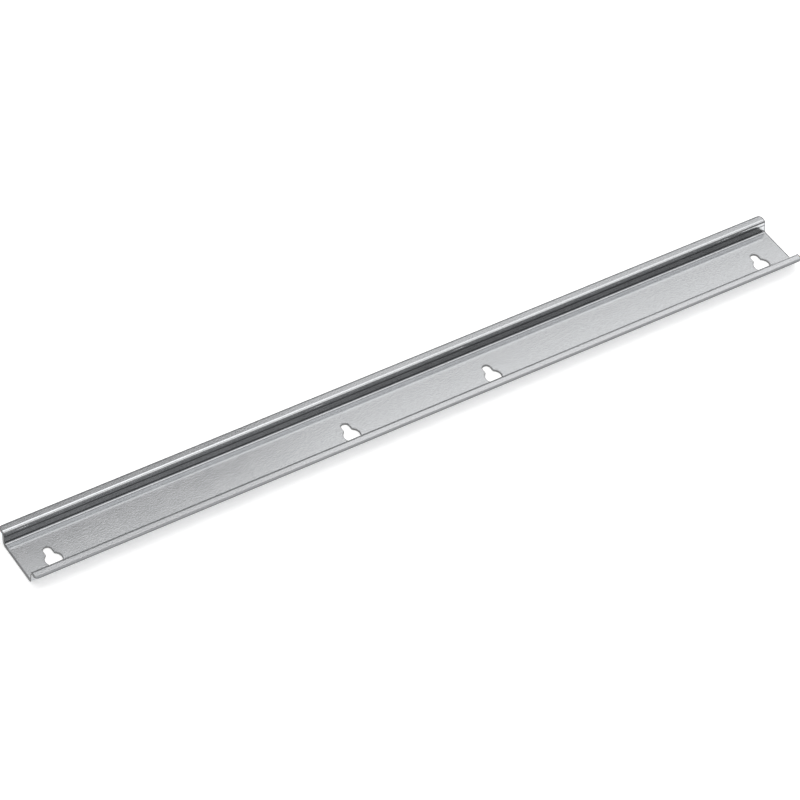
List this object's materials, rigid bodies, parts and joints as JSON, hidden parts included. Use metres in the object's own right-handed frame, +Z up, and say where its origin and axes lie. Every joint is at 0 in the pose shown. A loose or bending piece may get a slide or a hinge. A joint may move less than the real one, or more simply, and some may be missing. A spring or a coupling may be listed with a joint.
{
  "type": "din rail",
  "caption": "Top-hat section mounting rail of zinc-plated steel, with keyhole slots for screws; electrical devices clip over its two flanges.",
  "frame": {"origin": "middle of the underside, on the plane that the rail lies on", "axes": "+X along the rail, +Y across it from the keyholes' round ends towards their slots, +Z up out of the open side"},
  "size_m": [0.412, 0.035, 0.0075],
  "materials": {
    "zinc_plated_steel": "bright zinc plating on cold-rolled strip, semi-gloss"
  },
  "bodies": {
    "root": {"rail": "zinc_plated_steel"}
  },
  "joints": []
}
